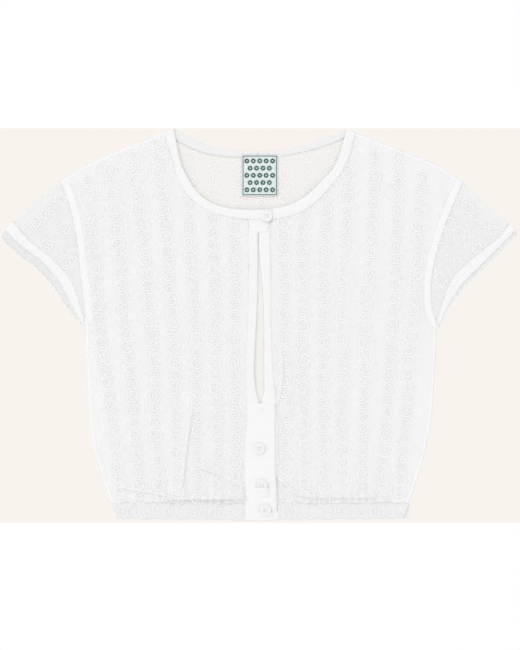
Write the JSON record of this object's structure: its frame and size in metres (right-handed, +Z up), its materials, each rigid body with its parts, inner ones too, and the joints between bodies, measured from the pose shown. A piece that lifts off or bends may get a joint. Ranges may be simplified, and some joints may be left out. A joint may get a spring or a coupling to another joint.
{
  "type": "dirndl blouse",
  "caption": "Short-sleeved dirndl blouse of sheer ring-embroidered cotton, laid flat, with a round bound neck, keyhole slit, buttoned placket, lace-edged cap sleeves and elastic hem.",
  "frame": {"origin": "on the surface that the blouse lies on, under the middle of its bounding box", "axes": "+X from the wearer's right sleeve to the left one, +Y from hem to neck, +Z up from the surface to the front of the blouse"},
  "size_m": [0.5936, 0.4509, 0.0105],
  "materials": {
    "sheer_cotton": "matte sheer cotton voile with white embroidered rings",
    "plain_cotton": "matte plain-woven cotton, several layers",
    "lace_edging": "matte cotton bobbin lace",
    "label_tape": "satin-woven tape",
    "button_shell": "pearly polyester"
  },
  "bodies": {
    "root": {"back": "sheer_cotton", "front_right": "sheer_cotton", "front_left": "sheer_cotton", "sleeve_right": "sheer_cotton", "sleeve_left": "sheer_cotton", "cuff_right": "plain_cotton", "cuff_left": "plain_cotton", "lace_right": "lace_edging", "lace_left": "lace_edging", "neck_binding_back": "plain_cotton", "neck_binding_right": "plain_cotton", "neck_binding_left": "plain_cotton", "placket_right": "plain_cotton", "placket_left": "plain_cotton", "casing_right": "plain_cotton", "casing_left": "plain_cotton", "casing_back": "plain_cotton", "label": "label_tape", "button_neck": "button_shell", "button_chest": "button_shell", "button_waist": "button_shell", "button_hem": "button_shell"}
  },
  "joints": []
}
